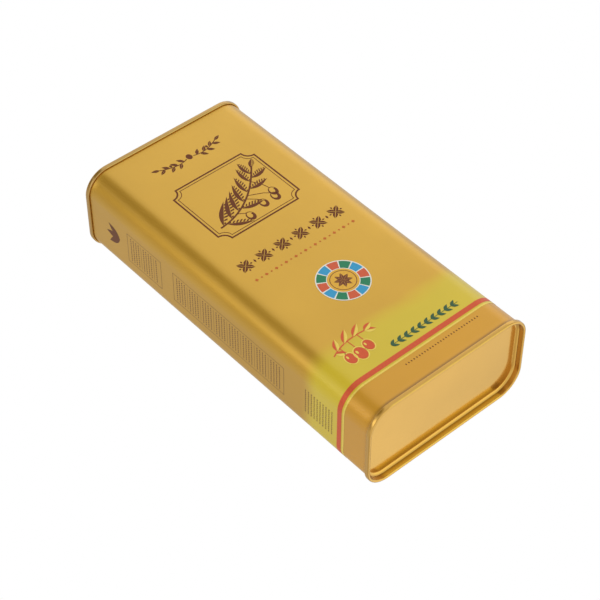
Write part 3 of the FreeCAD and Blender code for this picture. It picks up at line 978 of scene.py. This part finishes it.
def medallion(along, height):
    """A round rosette of coloured petals."""
    petals, petal_half_angle = 12, 13.4
    WHITE.add(*ring_sector(along, height, 7.9, 14.0, 0, 360, 72))
    inks = (BLUE, LEAF_GREEN, CORAL)
    for petal in range(petals):
        middle = 360 / petals * (petal + 0.5)
        turns = middle - petal_half_angle, middle + petal_half_angle
        inks[petal % len(inks)].add(*ring_sector(along, height, 8.5, 13.4, *turns, 6))
    HONEY.add(disc(along, height, 8.1, 8.1, 60))
    for number in range(8):
        for side in (1, -1):
            BROWN_OVER.add(moved(leaf(5.0, 2.1, side), along, height, 45 * (number + 0.5)))
    BROWN_OVER.add(*ring_sector(along, height, 6.5, 6.9, 0, 360, 48))


def fruit_group(along, height):
    """A coloured twig with paired leaves and hanging fruits."""
    points, stroke = stem((-12.5, 1.0), (-2, 6.5), (12.0, 4.0), 0.7, 12)
    RED.add(*all_moved(stroke, along, height))
    leaves = ((2, 62, 8.0), (5, 50, 9.5), (8, 38, 9.0), (11, 20, 6.5), (1, -34, 6.0), (11, -26, 6.5))
    for step, lean, length in leaves:
        x, y = points[step]
        for half_ink, side in ((RED, 1), (YELLOW, -1)):
            half_ink.add(moved(leaf(length, 3.2, side, rib=0.16), along + x, height + y, lean))
    rim_in, red_in = 0.6, 0.7
    for step, drop, wide in ((3, -8.2, 3.4), (6, -10.0, 3.8), (9, -8.6, 3.3)):
        x, top = along + points[step][0], height + points[step][1]
        y, tall = top + drop, wide * 1.25
        RED.add(*line([(x, top), (x + 0.4, y + wide)], 0.5))
        YELLOW.add(*between(oval(x, y, wide, tall), oval(x, y, wide - rim_in, tall - rim_in)))
        RED.add(disc(x, y, wide - red_in, tall - red_in))
        YELLOW.add(disc(x - wide * 0.3, y + wide * 0.4, wide * 0.16, wide * 0.3, 18))


def leaf_border(start, stop, height):
    """A running border of small green leaves."""
    pitch, lean = 4.4, 32
    count = int((stop - start) / pitch)
    for number in range(count):
        for turn in (lean, -lean):
            GREEN.add(moved(leaf(4.2, 1.7), start + number * pitch, height, turn))
    GREEN.add(*line([(start, height), (start + count * pitch, height)], 0.32))


def main_panel(along):
    """The ornaments of a broad side, from the head down to the row of dots on the foot."""
    crest(along, height=197)
    sprig_panel(along, height=158)
    frieze(along, height=115)
    medallion(along, height=76)
    fruit_group(along - 25, height=40)
    leaf_border(along - 12, along + 34, height=28.6)
    dots, dot_pitch, dot_start, dot_height = 28, 1.75, -15, 15.2
    for number in range(dots):
        BROWN.add(lozenge(along + dot_start + number * dot_pitch, dot_height, 0.8, 1.3))


def seed_row(along, height):
    """Small seeds that lean left and right by turns."""
    seeds, pitch, lean = 11, 1.5, 28
    for number in range(seeds):
        place = along + (number - (seeds - 1) / 2) * pitch
        RULE.add(moved(lozenge(0, 0, 1.4, 0.95), place, height, lean if number % 2 else -lean))


def side_panel(along):
    """Framed rows of small seeds on the narrow side, under a three-leaved sprig."""
    row_pitch, frame_half, rule_half = 2.1, 9.6, 8
    head_gap, foot_gap = 3, 1
    sprig_height, loose_rows, loose_height = 193, 10, 46
    for turn in (90, 55, 125):
        BROWN.add(moved(leaf(11.0, 4.0), along, sprig_height, turn))
    left, right = along - frame_half, along + frame_half
    for low, high in ((158, 186), (62, 148)):
        corners = [(left, low), (right, low), (right, high), (left, high)]
        RULE.add(*line(corners + corners[:2], 0.26))
        for row in range(int((high - low - head_gap - foot_gap) / row_pitch)):
            height = high - head_gap - row * row_pitch
            if row % 5 == 4:
                RULE.add(*line([(along - rule_half, height), (along + rule_half, height)], 0.2))
            else:
                seed_row(along, height)
    for row in range(loose_rows):
        seed_row(along, loose_height - row * row_pitch)


RIGHT_SIDE = FLAT_X + CORNER_ARC + FLAT_Y
STRIPE_GAP = 3.0  # bare plate on each side of the weld
STRIPE = (RIGHT_SIDE + STRIPE_GAP, RIGHT_SIDE - STRIPE_GAP + PERIMETER)
main_panel(0.0)
main_panel(PERIMETER / 2)
side_panel(-RIGHT_SIDE)
RED.strip(*STRIPE, 20.4, 23.4)
YELLOW.strip(*STRIPE, 18.5, 19.5)
for print_ink in Print.inks:
    print_ink.lay()


# Stage, light and camera. Places are in metres.

FLOOR_REACH = 3.0
FLOOR_Z = -0.0004
FLOOR_FADE = (0.08, 0.42)
FLOOR_GREY = (0.86, 0.86, 0.86, 1)
ROOM_LIGHT = 0.78
WHITE_LIGHT = (1, 1, 1, 1)
CAMERA_LENS, CAMERA_SENSOR = 110.29, 36.0
CAMERA_PLACE = Vector((-0.435291, -0.670430, -0.387129))
CAMERA_FORWARD = Vector((0.458062, 0.720021, 0.521296))
CAMERA_UP = Vector((0.473227, -0.693950, 0.542668))

# Where the studio round the tin is dimmer or brighter, so that metal has something to mirror:
# direction, colour there, and the cosines where the patch begins and is full.
DIM = (0.62, 0.58, 0.50)
PATCHES = [
    # mirrored by the left corner, the left side and the edges of the outline
    ((-0.28, -0.70, 0.66), (0.36, 0.30, 0.14), 0.90, 0.985),
    ((-0.66, -0.20, 0.72), (0.34, 0.27, 0.13), 0.925, 0.975),
    ((-0.74, 0.10, 0.66), (0.46, 0.38, 0.24), 0.93, 0.98),
    ((-0.45, 0.73, 0.52), (0.76, 0.75, 0.72), 0.50, 0.95),
    ((-0.87, -0.38, 0.30), (2.0, 2.0, 1.9), 0.945, 0.99),
    ((0.02, 0.85, 0.52), (0.66, 0.58, 0.42), 0.84, 0.97),
    ((0.70, 0.45, 0.54), (0.80, 0.79, 0.82), 0.78, 0.94),
    ((0.46, 0.72, 0.52), (0.60, 0.57, 0.52), 0.86, 0.97),
    # mirrored by the base and its seam
    ((0.45, 0.73, -0.52), (1.34, 1.34, 1.12), 0.70, 0.95),
    ((0.66, 0.66, -0.35), (1.12, 1.21, 1.30), 0.982, 0.996),
    ((0.55, 0.82, -0.075), (0.42, 0.38, 0.30), 0.915, 0.975),
    ((0.47, 0.16, -0.87), (1.50, 1.53, 1.28), 0.80, 0.95),
    ((0.46, -0.80, -0.38), (1.80, 2.30, 1.70), 0.90, 0.985),
    ((-0.10, 0.76, -0.64), (0.74, 0.68, 0.56), 0.93, 0.985),
    ((0.08, -0.90, -0.42), DIM, 0.90, 0.985),
    ((-0.08, 0.96, -0.26), DIM, 0.90, 0.985),
]
# four dim corners of the room, mirrored by the standing tin
PATCHES += [((x, y, -0.05), DIM, 0.90, 0.985) for y in (-0.70, 0.70) for x in (0.70, -0.70)]


def mix_shaders(tree, factor, first, second):
    return node(tree, "ShaderNodeMixShader", {"Fac": factor, 1: first, 2: second}).outputs["Shader"]


def make_floor():
    """A pale floor under the standing tin, seen from above only, fading to white."""
    mesh = bpy.data.meshes.new("floor")
    corners = [(x * FLOOR_REACH, y * FLOOR_REACH, FLOOR_Z) for x, y in ((-1, -1), (1, -1), (1, 1), (-1, 1))]
    mesh.from_pydata(corners, [], [(0, 1, 2, 3)])
    floor = new_object("floor", mesh)
    material = bpy.data.materials.new("floor")
    material.use_nodes = True
    tree = material.node_tree
    tree.nodes.clear()
    paint = node(tree, "ShaderNodeBsdfDiffuse", {"Color": FLOOR_GREY}).outputs["BSDF"]
    glow = node(tree, "ShaderNodeEmission").outputs["Emission"]
    clear = node(tree, "ShaderNodeBsdfTransparent").outputs["BSDF"]
    distance = node(tree, "ShaderNodeVectorMath", {0: coordinates(tree)}, operation="LENGTH")
    far = spread(tree, distance.outputs["Value"], 0.0, 1.0, *FLOOR_FADE, smooth=True)
    below = node(tree, "ShaderNodeNewGeometry").outputs["Backfacing"]
    one_sided = mix_shaders(tree, below, mix_shaders(tree, far, paint, glow), clear)
    node(tree, "ShaderNodeOutputMaterial", {"Surface": one_sided})
    mesh.materials.append(material)
    floor.visible_diffuse = False
    floor.visible_glossy = False
    floor.visible_transmission = False
    floor.visible_shadow = False


def studio_colour(tree):
    """White all round, with the patches that metal can mirror."""
    direction = node(tree, "ShaderNodeTexCoord").outputs["Generated"]
    colour = WHITE_LIGHT
    for towards, patch, begins, full in PATCHES:
        inputs = {0: direction, 1: Vector(towards).normalized()}
        cosine = node(tree, "ShaderNodeVectorMath", inputs, operation="DOT_PRODUCT").outputs["Value"]
        share = spread(tree, cosine, 0.0, 1.0, begins, full, smooth=True)
        colour = blend_colours(tree, share, colour, (*patch, 1))
    return colour


def background(tree, colour, strength=1.0):
    inputs = {"Color": colour, "Strength": strength}
    return node(tree, "ShaderNodeBackground", inputs).outputs["Background"]


def make_world():
    """A white backdrop, an even light, and the patched studio for whatever mirrors or refracts."""
    world = bpy.data.worlds.new("studio")
    world.use_nodes = True
    bpy.context.scene.world = world
    tree = world.node_tree
    tree.nodes.clear()
    mirrored = background(tree, studio_colour(tree))
    even = background(tree, WHITE_LIGHT, ROOM_LIGHT)
    white = background(tree, WHITE_LIGHT)
    path = node(tree, "ShaderNodeLightPath").outputs
    shown = math_node(tree, "MAXIMUM", path["Is Glossy Ray"], path["Is Transmission Ray"])
    reflected = mix_shaders(tree, shown, even, mirrored)
    seen = mix_shaders(tree, path["Is Camera Ray"], reflected, white)
    node(tree, "ShaderNodeOutputWorld", {"Surface": seen})


def make_lamp(name, place, size, power):
    """A soft round lamp that faces the tin's middle."""
    lamp = bpy.data.lights.new(name, "AREA")
    lamp.shape = "DISK"
    lamp.size = size
    lamp.energy = power
    holder = new_object(name, lamp)
    target = Vector((0, 0, HEIGHT / 2)) * MM
    holder.location = place
    holder.rotation_euler = (target - Vector(place)).to_track_quat("-Z", "Y").to_euler()


def make_camera():
    """The photograph's view: the tin lies on its back, seen from its base end."""
    camera = bpy.data.cameras.new("camera")
    camera.sensor_width = CAMERA_SENSOR
    camera.lens = CAMERA_LENS
    camera.clip_start = 0.01
    holder = new_object("camera", camera)
    forward = CAMERA_FORWARD.normalized()
    right = forward.cross(CAMERA_UP).normalized()
    turn = Matrix((right, right.cross(forward), -forward)).transposed().to_4x4()
    holder.matrix_world = Matrix.Translation(CAMERA_PLACE) @ turn
    bpy.context.scene.camera = holder


make_floor()
make_world()
make_lamp("key", place=(0.95, -0.55, 0.85), size=1.0, power=0.8)
make_lamp("top", place=(0.0, 0.25, 1.4), size=0.8, power=0.6)
make_camera()
bpy.context.scene.view_settings.view_transform = "Standard"
